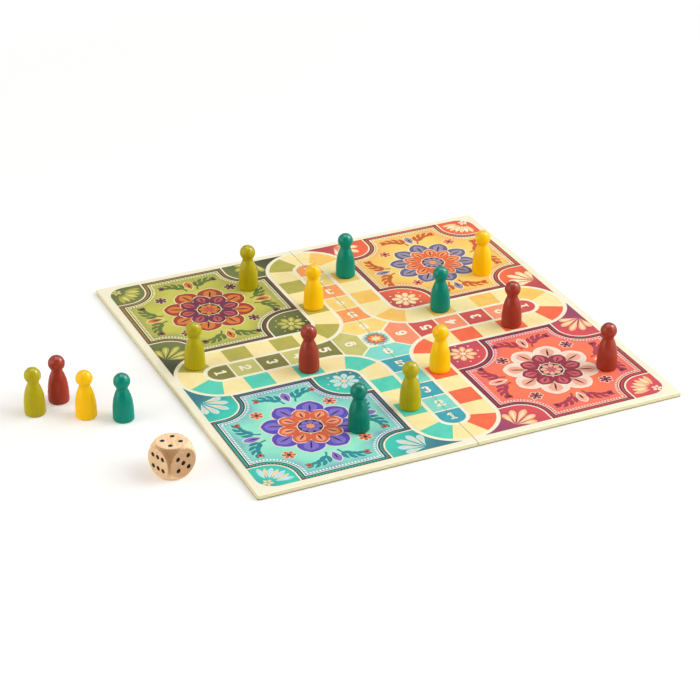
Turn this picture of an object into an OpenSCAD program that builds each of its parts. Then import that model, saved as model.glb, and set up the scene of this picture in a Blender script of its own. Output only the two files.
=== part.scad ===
// A folding track-race game for four players: a square printed board in two halves,
// sixteen turned wooden pawns and one wooden die.
// X runs across the fold, Y along it towards the back, Z up.
// The origin is the middle of the board's underside, on the fold line.

/* [Board] */
// Side of the square board when it lies open
board_side = 270; // [240:1:330]
// Thickness of the greyboard core
core_t = 2.4; // [1.8:0.1:4]
// Thickness of the printed face paper
paper_t = 0.2; // [0.1:0.05:0.3]
// Thickness of the lining paper and of the hinge strip under the board
lining_t = 0.2; // [0.1:0.05:0.3]
// Radius of the board's four corners in plan
corner_r = 1.5; // [1:0.1:4]
// Radius of the upper outer edge, where the paper turns down
edge_r = 0.9; // [0.5:0.1:1.5]
// Radius of the lower outer edge
foot_r = 0.4; // [0.35:0.05:0.8]
// Open slit between the two halves at the fold
fold_slit = 0.4; // [0.2:0.05:1]
// Width of the paper hem that is turned in under the board
hem_w = 12; // [6:0.5:20]
// Width of the hinge strip, across both halves
strip_w = 30; // [16:1:50]
// Distance from the end of the hinge strip to the board's edge
strip_inset = 0.6; // [0.4:0.1:3]

/* [Print] */
// Thickness of each ink film
ink_t = 0.1; // [0.05:0.01:0.2]
// Plain margin between the print and the board's edge
margin = 5.3; // [4:0.1:12]
// Corner radius of the printed area
print_r = 10.9; // [6:0.1:16]
// Width of a home column
home_w = 15.8; // [12:0.1:20]
// Width of the pale line on each side of the track
line_w = 2.6; // [1:0.1:4]
// Width of the track
track_w = 15; // [12:0.1:20]
// Radius of a panel's inner corner, inside the track's bend
bend_r = 8.9; // [6:0.1:14]
// How far the outer pale line runs into the margin at an arm's end
overrun = 1; // [0:0.1:2]
// Straight part of the first plain square at an arm's end
tail_out = 10; // [6:0.1:14]
// Straight part of the plain square beside the bend
tail_in = 8.5; // [5:0.1:12]
// Half angle of the plain square at an arm's tip
tip_deg = 26; // [20:1:32]
// Angle of the coloured square beside it
shoulder_deg = 47.1; // [40:0.1:50]
// Angle of the coloured square in the bend
bend_deg = 45; // [36:1:54]
// Half side of the plain square in the middle
centre_half = 9.3; // [8:0.1:12]
// Pale line between two home cells
gutter_w = 1.35; // [0.6:0.05:2.5]
// Straight part of the first home cell
home_mouth = 6.8; // [4:0.1:10]
// Height of a printed number
number_h = 7.4; // [5:0.1:10]
// Stroke width of a printed number
stroke_w = 1.6; // [1:0.1:2]
// Outer radius of the star in the middle
star_r = 6.5; // [4:0.1:7.5]
// Inner radius of the star
star_in_r = 4.8; // [2.5:0.1:5.5]
// Width of the dark border round a panel
border_w = 2.9; // [2:0.1:6]
// Side of the field in each of a panel's three outer corners
corner_s = 22.4; // [12:0.1:26]
// Radius of that field's own corner
corner_turn = 14.5; // [4:0.1:16]
// Side of the field in a panel's inner corner
inner_s = 26.9; // [14:0.1:30]
// Radius of the inner field's own corner
inner_turn = 19; // [6:0.1:20]
// Pale line between a corner field and the border
corner_line = 1.1; // [0.5:0.1:2]

/* [Pawns] */
// Height of a pawn
pawn_h = 30; // [24:0.5:36]
// Largest diameter of the body
pawn_d = 12.6; // [10:0.1:15]
// Diameter of the foot's flat
foot_d = 10.8; // [8:0.1:12]
// Diameter of the head
head_d = 9.9; // [7:0.1:12]
// Diameter of the neck
neck_d = 6.6; // [4:0.1:8]
// Height of the rounding above the foot
foot_h = 1.6; // [0.8:0.1:3]
// Height at which the body is widest
belly_h = 3.2; // [2.5:0.1:6]
// Height of the shoulder, where the neck begins
shoulder_h = 20.2; // [15:0.1:21.5]

/* [Die] */
// Distance between two opposite faces
die_a = 20; // [16:0.5:25]
// Radius of the ball that rounds the corners, as a share of half the die
die_round = 1.33; // [1.2:0.01:1.5]
// Diameter of a pip
pip_d = 2.5; // [1.5:0.1:3.2]
// Depth of a pip's recess
pip_depth = 0.5; // [0.3:0.05:1]
// Thickness of the paint in a pip's recess
pip_paint = 0.25; // [0.1:0.05:0.3]
// Distance from a face's middle to a corner pip, along each side
pip_pitch = 3.6; // [3:0.1:5]
// Distance from the middle to the end pips in a row of three
row_pitch = 4.2; // [3.5:0.1:5.5]
// Turn of the die on the table
die_yaw = 18.4; // [0:0.1:90]
// Gap between the board's left edge and the die's middle
die_gap = 31.3; // [20:0.1:60]
// Distance of the die's middle in front of the board's middle
die_front = 87.5; // [0:0.1:130]

/* [Hidden] */
$fn = 96;
half = board_side / 2;
face_z = lining_t + core_t + paper_t;
core_top = lining_t + core_t;
ink_z = face_z + ink_t;
print_half = half - margin;
home_half = home_w / 2;
track_in = home_half + line_w;
track_out = track_in + track_w;
track_mid = (track_in + track_out) / 2;
panel_in = track_out + line_w;
panel_mid = (panel_in + print_half) / 2;
// Middle of the bend's arcs, and of the arm end's arcs
bend_c = panel_in + bend_r;
end_c = print_half - panel_in + overrun;
// Three squares share the straight run between the two tails
square_len = (end_c - bend_c - tail_out - tail_in) / 3;
run_1 = end_c - tail_out;
run_2 = run_1 - square_len;
run_3 = run_2 - square_len;
run_4 = run_3 - square_len;
square_near = (run_3 + run_4) / 2;
square_far = (run_1 + run_2) / 2;
// Five home cells of one length lie between the middle and the rounded first cell
cell_len = (end_c - home_mouth - centre_half) / 5 - gutter_w;
cell_pitch = cell_len + gutter_w;
number_w = number_h * 0.78;
// The first cell is round at its end, so its number stands a little nearer to the middle
first_number_in = 0.6;
// Half the pale line between two neighbouring last home cells, measured along X or Y
diagonal_gap = gutter_w / sqrt(2);
head_r = head_d / 2;
neck_r = neck_d / 2;
// Straight start of the neck above the shoulder
neck_step = 0.35;
// A cutter reaches past the board by this much
past = 5;
far = board_side + 2 * past;

// Colours of the papers, the inks and the paints
PAPER = "#FBF5DC";
BOARD = "#A89F8C";
LINING = "#F3EEDC";
TAN = "#FBE3A2";
SQUARE = ["#57D3BB", "#F86C4A", "#FCC768", "#B4B256"];
DARK = ["#3BA0B5", "#CF4F50", "#FC9A5B", "#7E7B45"];
LIGHT = ["#86E0CF", "#FB8D72", "#FAD07A", "#C5C573"];
PANEL = ["#8FE3C8", "#FC7850", "#FBD56B", "#C4C455"];
BORDER = ["#2C6F7C", "#7C2F3C", "#8A3B3C", "#6B4A34"];
CORNER = ["#2E8E93", "#B4444A", "#E8663F", "#6E7440"];
STAR = "#F26A3C";
PAWN = ["#148A70", "#A63A32", "#FFC400", "#B0AF20"];
BEECH = "#DDB384";
PIP = "#1C1815";

// The four players, as indices into the colour lists
TEAL = 0;
RED = 1;
YELLOW = 2;
GREEN = 3;
// Turn from the back arm, or from the back right panel, to each player's own
ARM_TURN = [180, 270, 0, 90];
PANEL_TURN = [180, 270, 0, 90];
LEFT = -1;
RIGHT = 1;

// Plane outlines

// A sector of a ring about the point c, from radius r0 to r1 and angle a0 to a1, under 180 degrees
module ring_sector(c, r0, r1, a0, a1) {
    reach = 3 * r1;
    mid = (a0 + a1) / 2;
    translate(c) intersection() {
        difference() {
            circle(r1);
            circle(r0);
        }
        polygon([
            [0, 0],
            reach * [cos(a0), sin(a0)],
            reach * [cos(mid), sin(mid)],
            reach * [cos(a1), sin(a1)]
        ]);
    }
}

// A rectangle from its lower left to its upper right corner
module box2(low, high) {
    translate(low) square(high - low);
}

// One side of the slit: everything left or right of the fold
module side_of_fold(side) {
    intersection() {
        children();
        if (side == LEFT) box2([-far, -far], [-fold_slit / 2, far]);
        else box2([fold_slit / 2, -far], [far, far]);
    }
}

// One half of a player's coloured squares, along the back arm's right-hand column
module coloured_half() {
    ring_sector([0, end_c], track_in, track_out, 90 - tip_deg - shoulder_deg, 90 - tip_deg);
    box2([track_in, run_2], [track_out, run_1]);
    box2([track_in, run_4], [track_out, run_3]);
}

// The seven coloured squares of the back right player
module coloured_squares() {
    coloured_half();
    mirror([1, -1]) coloured_half();
    ring_sector([bend_c, bend_c], bend_c - track_out, bend_c - track_in,
                225 - bend_deg / 2, 225 + bend_deg / 2);
}

// One half of the same player's plain squares
module plain_half() {
    ring_sector([0, end_c], track_in, track_out, 0, 90 - tip_deg - shoulder_deg);
    box2([track_in, run_1], [track_out, end_c]);
    box2([track_in, run_3], [track_out, run_2]);
    box2([track_in, bend_c], [track_out, run_4]);
    ring_sector([bend_c, bend_c], bend_c - track_out, bend_c - track_in, 180, 225 - bend_deg / 2);
}

// The six plain squares of the back right player
module plain_squares() {
    plain_half();
    mirror([1, -1]) plain_half();
}

// The plain square at the tip of the back arm
module tip_square() {
    ring_sector([0, end_c], track_in, track_out, 90 - tip_deg, 90 + tip_deg);
}

// The back home column's outline, flared where it meets its neighbours round the middle
module home_outline() {
    near = centre_half - diagonal_gap;
    wide = bend_c - diagonal_gap;
    box2([-home_half, centre_half], [home_half, end_c]);
    translate([0, end_c]) circle(home_half);
    difference() {
        polygon([[-near, centre_half], [near, centre_half], [wide, bend_c], [-wide, bend_c]]);
        for (s = [-1, 1]) translate([s * bend_c, bend_c]) circle(bend_c - home_half);
    }
}

// Home cell k, counted from 1 at the arm's end to 6 beside the middle
module home_cell(k) {
    low = centre_half + (6 - k) * cell_pitch;
    high = k == 1 ? end_c + home_half + 1 : low + cell_len;
    intersection() {
        home_outline();
        box2([-bend_c, low], [bend_c, high]);
    }
}

// A panel's outline, drawn in by d from its edge
module panel_outline(d) {
    inner = panel_in + d;
    outer = print_half - d;
    r_out = max(print_r - d, 1);
    r_in = max(bend_r - d, 1);
    difference() {
        union() {
            box2([0, 0], [outer, outer - r_out]);
            box2([0, 0], [outer - r_out, outer]);
            translate([outer - r_out, outer - r_out]) circle(r_out);
        }
        box2([-1, -1], [inner, end_c]);
        box2([-1, -1], [end_c, inner]);
        translate([0, end_c]) circle(inner);
        translate([end_c, 0]) circle(inner);
        difference() {
            box2([inner - 1, inner - 1], [inner + r_in, inner + r_in]);
            translate([inner + r_in, inner + r_in]) circle(r_in);
        }
    }
}

// A square reaching from a panel's corner p towards its middle, drawn out by grow on the two sides
// that face the middle, where its one rounded corner is
module corner_square(p, side, turn, grow) {
    s = side + grow;
    r = turn + grow;
    translate(p) rotate(p[0] < panel_mid ? (p[1] < panel_mid ? 0 : 270) : (p[1] < panel_mid ? 90 : 180)) {
        box2([-far, -far], [s - r, s]);
        box2([-far, -far], [s, s - r]);
        translate([s - r, s - r]) circle(r);
    }
}

// The four corner squares of a panel
module corner_squares(grow) {
    corner_square([panel_in, panel_in], inner_s, inner_turn, grow);
    for (p = [[print_half, panel_in], [panel_in, print_half], [print_half, print_half]])
        corner_square(p, corner_s, corner_turn, grow);
}

// The pale field of a panel
module panel_field() {
    difference() {
        panel_outline(border_w);
        corner_squares(corner_line + border_w);
    }
}

// The dark border round that field
module panel_border() {
    difference() {
        panel_outline(0);
        corner_squares(corner_line);
        panel_field();
    }
}

// The fields in a panel's corners
module panel_corners() {
    intersection() {
        panel_outline(0);
        corner_squares(0);
    }
}

// Numbers, each centred in a box number_w wide and number_h high

module one() {
    h = number_h / 2;
    w = number_w / 2;
    box2([-stroke_w / 2, -h], [stroke_w / 2, h]);
    box2([-w * 0.7, -h], [w * 0.7, -h + stroke_w * 0.6]);
    polygon([
        [-stroke_w / 2, h],
        [-w * 0.75, h * 0.62],
        [-w * 0.75, h * 0.32],
        [-stroke_w / 2, h * 0.55]
    ]);
}

module two() {
    h = number_h / 2;
    w = number_w / 2;
    r = w * 0.92;
    ring_sector([0, h - r], r - stroke_w, r, -20, 90);
    ring_sector([0, h - r], r - stroke_w, r, 89, 190);
    polygon([
        [r * 0.94, h - r * 1.34],
        [r * 0.94 - stroke_w * 1.05, h - r * 1.2],
        [-w, -h + stroke_w],
        [-w, -h],
        [-w + stroke_w * 1.1, -h + stroke_w * 0.7]
    ]);
    box2([-w, -h], [w, -h + stroke_w * 0.9]);
}

module three() {
    h = number_h / 2;
    r = (number_h + stroke_w * 0.9) / 4;
    for (turned = [0, 1]) mirror([0, turned]) {
        ring_sector([0, h - r], r - stroke_w, r, -95, 30);
        ring_sector([0, h - r], r - stroke_w, r, 29, 165);
    }
}

module four() {
    h = number_h / 2;
    w = number_w / 2;
    bar = -h * 0.42;
    box2([w * 0.12, -h], [w * 0.12 + stroke_w, h]);
    box2([-w, bar], [w, bar + stroke_w * 0.85]);
    polygon([
        [w * 0.12, h],
        [w * 0.12 + stroke_w * 0.6, h],
        [-w + stroke_w * 1.2, bar + stroke_w * 0.5],
        [-w, bar],
        [-w, bar + stroke_w * 0.9]
    ]);
}

module five() {
    h = number_h / 2;
    w = number_w / 2;
    r = w * 0.95;
    box2([-w * 0.85, h - stroke_w * 0.9], [w * 0.85, h]);
    box2([-w * 0.85, h * 0.02], [-w * 0.85 + stroke_w * 0.9, h]);
    ring_sector([0, -h + r], r - stroke_w, r, -30, 130);
    ring_sector([0, -h + r], r - stroke_w, r, -160, -29);
}

module six() {
    h = number_h / 2;
    r = number_w * 0.46;
    translate([0, -h + r]) difference() {
        circle(r);
        circle(r - stroke_w);
    }
    box2([-r, -h + r], [-r + stroke_w, h - r]);
    ring_sector([0, h - r], r - stroke_w, r, 25, 181);
}

// The number of home cell k, at its place on the back arm, its top towards the middle
module number_at(k) {
    low = centre_half + (6 - k) * cell_pitch;
    y = k == 1 ? (low + end_c + home_half) / 2 - first_number_in : low + cell_len / 2;
    translate([0, y]) rotate(180) {
        if (k == 1) one();
        if (k == 2) two();
        if (k == 3) three();
        if (k == 4) four();
        if (k == 5) five();
        if (k == 6) six();
    }
}

// An eight-pointed star in the middle of the board
module star_outline() {
    polygon([
        for (i = [0:15]) let (r = i % 2 == 0 ? star_r : star_in_r, a = i * 22.5) r * [cos(a), sin(a)]
    ]);
}

// Solids

// An ink film on the face paper; layer 1 lies over layer 0
module film(layer = 0) {
    translate([0, 0, face_z + layer * ink_t]) linear_extrude(ink_t) children();
}

// A rectangle with its upper corners rounded by r1 and its lower corners by r0, from x0 to x1
// and z0 to z1; a corner at the fold stays square
module edge_profile(x0, x1, z0, z1, r0, r1, fold_side) {
    difference() {
        box2([x0, z0], [x1, z1]);
        for (s = [LEFT, RIGHT]) if (s != fold_side) {
            x = s == LEFT ? x0 : x1;
            if (r1 > 0) corner_cut([x, z1], r1, s, 1);
            if (r0 > 0) corner_cut([x, z0], r0, s, -1);
        }
    }
}

// What is cut away to round one corner of a rectangle, at p, by radius r
module corner_cut(p, r, sx, sz) {
    difference() {
        translate(p) translate([sx > 0 ? -r : -1, sz > 0 ? -r : -1]) square(r + 1);
        translate([p[0] - sx * r, p[1] - sz * r]) circle(r);
    }
}

// One half of the board as a block: drawn in by d at its outer edges, from z0 to z1,
// with plan radius r, lower edge radius r0 and upper edge radius r1
module half_block(side, d, z0, z1, r, r0, r1) {
    x_out = half - d;
    x_fold = fold_slit / 2;
    low_x = side == LEFT ? -x_out : x_fold;
    high_x = side == LEFT ? -x_fold : x_out;
    intersection() {
        translate([0, 0, z0]) linear_extrude(z1 - z0) difference() {
            box2([low_x, -x_out], [high_x, x_out]);
            for (sy = [-1, 1]) corner_cut([side * x_out, sy * x_out], r, side, sy);
        }
        translate([0, half, 0]) rotate([90, 0, 0]) linear_extrude(board_side)
            edge_profile(low_x, high_x, z0, z1, r0, r1, -side);
        translate([-half, 0, 0]) rotate([90, 0, 90]) linear_extrude(board_side)
            edge_profile(-x_out, x_out, z0, z1, r0, r1, 0);
    }
}

// The hinge strip under one half, from the fold line outwards
module strip_block(side) {
    run = board_side - 2 * strip_inset;
    translate([side == LEFT ? -strip_w / 2 : 0, -run / 2, 0]) cube([strip_w / 2, run, lining_t]);
}

// The lining under one half, between the hems and the hinge strip
module lining_block(side) {
    run = board_side - 2 * hem_w;
    wide = half - hem_w - strip_w / 2;
    translate([side == LEFT ? -half + hem_w : strip_w / 2, -run / 2, 0]) cube([wide, run, lining_t]);
}

// The greyboard core of one half
module core_block(side) {
    half_block(side, paper_t, lining_t, core_top, corner_r - paper_t, 0, edge_r - paper_t);
}

module core(side) {
    color(BOARD) core_block(side);
}

// The printed paper over one half: its top, its turned edges and the hem under them
module face_paper(side) {
    color(PAPER) difference() {
        half_block(side, 0, 0, face_z, corner_r, foot_r, edge_r);
        core_block(side);
        lining_block(side);
        strip_block(side);
    }
}

module lining(side) {
    color(LINING) lining_block(side);
}

module hinge_strip(side) {
    color(LINING) strip_block(side);
}

module squares(player) {
    color(SQUARE[player]) film() rotate(PANEL_TURN[player]) coloured_squares();
}

module squares_tan(side) {
    turns = side == LEFT ? [90, 180] : [0, 270];
    color(TAN) film() {
        for (a = turns) rotate(a) plain_squares();
        rotate(-side * 90) tip_square();
        side_of_fold(side) {
            tip_square();
            rotate(180) tip_square();
        }
    }
}

// The cells of one home column that share a tone: odd cells are dark, even cells light
module home(player, first, side = 0) {
    tone = first == 1 ? DARK[player] : LIGHT[player];
    color(tone) film() {
        if (side == 0) home_cells(player, first);
        else side_of_fold(side) home_cells(player, first);
    }
}

module home_cells(player, first) {
    rotate(ARM_TURN[player]) {
        home_cell(first);
        home_cell(first + 2);
        home_cell(first + 4);
    }
}

module panel(player) {
    color(PANEL[player]) film() rotate(PANEL_TURN[player]) panel_field();
}

module border(player) {
    color(BORDER[player]) film() rotate(PANEL_TURN[player]) panel_border();
}

module corners(player) {
    color(CORNER[player]) film() rotate(PANEL_TURN[player]) panel_corners();
}

// All numbers on one half: a whole arm's, and the near parts of the two that lie on the fold
module numbers(side) {
    color(PAPER) film(1) {
        rotate(-side * 90) for (k = [1:6]) number_at(k);
        side_of_fold(side) for (a = [0, 180]) rotate(a) for (k = [1:6]) number_at(k);
    }
}

module star(side) {
    color(STAR) film() side_of_fold(side) star_outline();
}

// A pawn's outline from foot to crown: a rounded foot, a bell like a quarter ellipse, a neck and a ball
function pawn_profile() = let (
    body_r = pawn_d / 2,
    foot_r = foot_d / 2,
    head_z = pawn_h - head_r,
    join = asin(neck_r / head_r)
) concat(
    [[0, 0]],
    [for (a = [0:15:90]) [foot_r + (body_r - foot_r) * sin(a), foot_h * (1 - cos(a))]],
    [for (a = [0:6:84]) [neck_r + (body_r - neck_r) * cos(a), belly_h + (shoulder_h - belly_h) * sin(a)]],
    [[neck_r + (body_r - neck_r) * 0.06, shoulder_h], [neck_r, shoulder_h + neck_step]],
    [for (a = [join:(180 - join) / 22:179.9]) [head_r * sin(a), head_z - head_r * cos(a)]],
    [[0, pawn_h]]
);

// A pawn of one player at a place in plan, on the face paper or on the table
module pawn(player, place, ground) {
    color(PAWN[player]) translate([place[0], place[1], ground]) rotate_extrude() polygon(pawn_profile());
}

// Where the pawns stand: three of each player's on the board, the fourth on the table at its left
TEAL_AT = [
    [track_mid + 0.9, square_far + 1.3],
    [square_near - 0.1, track_mid + 0.1],
    [-panel_mid + 23.6, -panel_mid - 14.8],
    [-half - 36.6, -21.7]
];
RED_AT = [
    [-square_near + 0.4, -track_mid - 0.2],
    [square_far - 0.5, -track_mid - 0.9],
    [panel_mid + 31.2, -panel_mid - 11.7],
    [-half - 64, 14.1]
];
YELLOW_AT = [
    [-track_mid + 0.1, square_near + 0.8],
    [panel_mid + 22.3, panel_mid - 26.2],
    [track_mid + 0.1, -square_near + 2.3],
    [-half - 55.1, -9.5]
];
GREEN_AT = [
    [-panel_mid + 34, panel_mid + 17.6],
    [-end_c - 11.1, 13.7],
    [-track_mid + 0.4, -square_far + 1.3],
    [-half - 81, 6.2]
];
PAWN_AT = [TEAL_AT, RED_AT, YELLOW_AT, GREEN_AT];

module game_pawn(player, i) {
    pawn(player, PAWN_AT[player][i - 1], i == 4 ? 0 : ink_z);
}

// Die

// The places of the pips on a face, by their number
function pip_places(n) =
    n == 1 ? [[0, 0]] :
    n == 2 ? [[-1, -1] * pip_pitch, [1, 1] * pip_pitch] :
    n == 3 ? concat([[0, 0]], pip_places(2)) :
    n == 4 ? [for (x = [-1, 1], y = [-1, 1]) [x, y] * pip_pitch] :
    n == 5 ? concat([[0, 0]], pip_places(4)) :
    [for (x = [-1, 0, 1], y = [-1, 1]) [x * row_pitch, y * pip_pitch]];

// Plugs from depth to the face's own level, on every face of the die; over is how far they stand out
module pip_plugs(depth, thick) {
    // Each face as its number and the turn that brings the top face to it
    faces = [[4, [0, 0, 0]], [3, [180, 0, 0]], [5, [90, 0, 0]], [2, [-90, 0, 0]],
             [6, [90, 0, -90]], [1, [90, 0, 90]]];
    for (f = faces) rotate(f[1]) for (p = pip_places(f[0]))
        translate([p[0], p[1], die_a / 2 - depth]) cylinder(d = pip_d, h = thick, $fn = 48);
}

module at_die() {
    translate([-half - die_gap, -die_front, die_a / 2]) rotate(die_yaw) children();
}

module die() {
    color(BEECH) at_die() difference() {
        intersection() {
            cube(die_a, center = true);
            sphere(die_a / 2 * die_round);
        }
        pip_plugs(pip_depth, pip_depth + 1);
    }
}

module pips() {
    color(PIP) at_die() pip_plugs(pip_depth, pip_paint);
}

core(LEFT);  // core_left
core(RIGHT);  // core_right
face_paper(LEFT);  // face_paper_left
face_paper(RIGHT);  // face_paper_right
lining(LEFT);  // lining_left
lining(RIGHT);  // lining_right
hinge_strip(LEFT);  // hinge_strip_left
hinge_strip(RIGHT);  // hinge_strip_right
squares(TEAL);  // squares_teal
squares(RED);  // squares_red
squares(YELLOW);  // squares_yellow
squares(GREEN);  // squares_green
squares_tan(LEFT);  // squares_tan_left
squares_tan(RIGHT);  // squares_tan_right
home(TEAL, 1, LEFT);  // home_teal_dark_left
home(TEAL, 1, RIGHT);  // home_teal_dark_right
home(TEAL, 2, LEFT);  // home_teal_light_left
home(TEAL, 2, RIGHT);  // home_teal_light_right
home(YELLOW, 1, LEFT);  // home_yellow_dark_left
home(YELLOW, 1, RIGHT);  // home_yellow_dark_right
home(YELLOW, 2, LEFT);  // home_yellow_light_left
home(YELLOW, 2, RIGHT);  // home_yellow_light_right
home(RED, 1);  // home_red_dark
home(RED, 2);  // home_red_light
home(GREEN, 1);  // home_green_dark
home(GREEN, 2);  // home_green_light
panel(TEAL);  // panel_teal
panel(RED);  // panel_red
panel(YELLOW);  // panel_yellow
panel(GREEN);  // panel_green
border(TEAL);  // border_teal
border(RED);  // border_red
border(YELLOW);  // border_yellow
border(GREEN);  // border_green
corners(TEAL);  // corners_teal
corners(RED);  // corners_red
corners(YELLOW);  // corners_yellow
corners(GREEN);  // corners_green
numbers(LEFT);  // numbers_left
numbers(RIGHT);  // numbers_right
star(LEFT);  // star_left
star(RIGHT);  // star_right
game_pawn(TEAL, 1);  // pawn_teal_1
game_pawn(TEAL, 2);  // pawn_teal_2
game_pawn(TEAL, 3);  // pawn_teal_3
game_pawn(TEAL, 4);  // pawn_teal_4
game_pawn(RED, 1);  // pawn_red_1
game_pawn(RED, 2);  // pawn_red_2
game_pawn(RED, 3);  // pawn_red_3
game_pawn(RED, 4);  // pawn_red_4
game_pawn(YELLOW, 1);  // pawn_yellow_1
game_pawn(YELLOW, 2);  // pawn_yellow_2
game_pawn(YELLOW, 3);  // pawn_yellow_3
game_pawn(YELLOW, 4);  // pawn_yellow_4
game_pawn(GREEN, 1);  // pawn_green_1
game_pawn(GREEN, 2);  // pawn_green_2
game_pawn(GREEN, 3);  // pawn_green_3
game_pawn(GREEN, 4);  // pawn_green_4
die();
pips();
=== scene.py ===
"""Looks of a folding track-race board game: a square printed board in two halves, sixteen turned
wooden pawns and one wooden die, on a white studio floor.

Lengths in the tables below are millimetres in the CAD frame; meshes are in metres.
"""
import math

import bpy
import numpy as np
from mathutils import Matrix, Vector


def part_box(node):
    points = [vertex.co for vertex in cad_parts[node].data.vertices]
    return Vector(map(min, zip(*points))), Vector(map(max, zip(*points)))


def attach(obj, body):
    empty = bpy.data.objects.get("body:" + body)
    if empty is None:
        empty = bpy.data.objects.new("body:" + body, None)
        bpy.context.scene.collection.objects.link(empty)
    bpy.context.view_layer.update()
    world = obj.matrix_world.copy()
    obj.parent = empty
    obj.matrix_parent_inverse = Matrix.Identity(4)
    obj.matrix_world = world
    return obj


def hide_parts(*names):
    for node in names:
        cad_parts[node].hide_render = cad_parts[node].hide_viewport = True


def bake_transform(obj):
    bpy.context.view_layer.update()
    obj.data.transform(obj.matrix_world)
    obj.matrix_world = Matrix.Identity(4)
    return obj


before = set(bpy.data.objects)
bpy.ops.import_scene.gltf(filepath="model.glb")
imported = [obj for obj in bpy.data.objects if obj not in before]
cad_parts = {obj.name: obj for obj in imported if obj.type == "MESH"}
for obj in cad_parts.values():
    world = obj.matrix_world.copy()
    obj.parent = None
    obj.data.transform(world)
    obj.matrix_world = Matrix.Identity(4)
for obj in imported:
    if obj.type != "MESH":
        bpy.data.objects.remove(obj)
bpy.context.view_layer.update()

MM = 0.001
# How far outwards of a panel's middle the corner fields' shading is centred
CORNER_DRIFT = 4.5

# The board and its print, as the CAD has them
FACE_Z = 2.8
INK_Z = 2.9
PANEL_IN = 28.1
PRINT_HALF = 129.7
PANEL_MID = (PANEL_IN + PRINT_HALF) / 2
PANEL_HALF = PRINT_HALF - PANEL_MID
CORNER_S, CORNER_TURN = 22.4, 14.5
INNER_S, INNER_TURN = 26.9, 19.0
CORNER_LINE = 1.1
BORDER_W = 2.9
STRIP_W, STRIP_RUN, LINING_T = 30.0, 268.8, 0.2
PLAYERS = ["teal", "red", "yellow", "green"]
TURN = {"teal": 180, "red": 270, "yellow": 0, "green": 90}
HALF = {"teal": "left_half", "red": "right_half", "yellow": "right_half", "green": "left_half"}

# Pawn and die, as the CAD has them
PAWN_H, PAWN_D, FOOT_D, HEAD_D, NECK_D = 30.0, 12.6, 10.8, 9.9, 6.6
FOOT_H, BELLY_H, SHOULDER_H = 1.6, 3.2, 20.2
NECK_HOLLOW = 0.17
DIE_A, DIE_ROUND, DIE_YAW = 20.0, 13.3, 18.4
PIP_PITCH, ROW_PITCH, PIP_R, PIP_DEPTH = 3.6, 4.2, 1.25, 0.5

# A frame's lines, as distances from the panel's edge, and its dashes' width and pitch
EDGE_LINE = (0.0, 1.2)
BAND = (0.35, 2.05)
TEETH = (0.35, 1.15)
WHITE_LINE = (2.95, 3.6)
DASHES = (4.3, 5.6)
DASH_W, DASH_PITCH = 1.05, 1.95
BAND_ROUND = 3.2
# How near the printed star's rays come to the fold
FOLD_GAP = 0.12
# How far apart two crossing strips of one ink lie
HAIR = 0.002
# Steps between the levels on which a panel's ornament is printed
LEVEL = 0.01
# How far the clouds in an ink push a drift of colour about
INK_WANDER = 9.0
# The same on a panel's ground, and the distance from the frame over which that drifts
GROUND_WANDER, GROUND_RUN = 14.0, 16.0


def linear(hex_colour):
    """An sRGB hex colour as linear RGBA."""
    values = [int(hex_colour[i:i + 2], 16) / 255 for i in (1, 3, 5)]
    return [v / 12.92 if v <= 0.04045 else ((v + 0.055) / 1.055) ** 2.4 for v in values] + [1.0]


def material(name):
    """A new material, and the socket in it that tells where a point lies in its object."""
    made = bpy.data.materials.new(name)
    made.use_nodes = True
    made.node_tree.nodes.clear()
    return made, add(made, "TexCoord").outputs["Object"]


def add(owner, kind, inputs=None, stops=None, **settings):
    """Adds one node. Inputs go to its sockets in use, by name or number: values, hex colours, other
    nodes' sockets, or nodes for their first output in use. Stops are a ramp's places and colours."""
    tree = owner.node_tree
    node = tree.nodes.new("ShaderNode" + kind)
    for key, value in settings.items():
        setattr(node, key, value)
    for key, value in (inputs or {}).items():
        socket = next(s for k, s in enumerate(node.inputs) if s.enabled and key in (k, s.name))
        if isinstance(value, bpy.types.Node):
            value = next(s for s in value.outputs if s.enabled)
        if isinstance(value, bpy.types.NodeSocket):
            tree.links.new(value, socket)
        else:
            socket.default_value = linear(value) if isinstance(value, str) else value
    if stops:
        elements = node.color_ramp.elements
        while len(elements) < len(stops):
            elements.new(1.0)
        for element, (place, colour) in zip(elements, stops):
            element.position, element.color = place, linear(colour)
    return node


def surface(owner, **inputs):
    """Ends a material in one Principled shader, with underscores in the socket names for spaces."""
    shader = add(owner, "BsdfPrincipled", {k.replace("_", " "): v for k, v in inputs.items()})
    add(owner, "OutputMaterial", {"Surface": shader})
    return owner


def relief(owner, texture, stops, strength, depth, **look):
    """Ends a material whose one texture gives its tones, by a ramp, and its height, in millimetres."""
    tone = add(owner, "ValToRGB", {"Fac": texture}, stops=stops)
    bump = add(owner, "Bump", {"Height": texture, "Strength": strength, "Distance": depth * MM})
    return surface(owner, Base_Color=tone, Normal=bump, **look)


def seen_plainly(owner):
    """A node that gives 1 where the camera, a reflection or a glass looks at the thing itself."""
    path = add(owner, "LightPath").outputs
    seen = add(owner, "Math", {0: path["Is Camera Ray"], 1: path["Is Glossy Ray"]}, operation="MAXIMUM")
    return add(owner, "Math", {0: seen, 1: path["Is Transmission Ray"]}, operation="MAXIMUM")


# Meshes. A part is a pair: its points in millimetres, and a list of face arrays.


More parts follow.
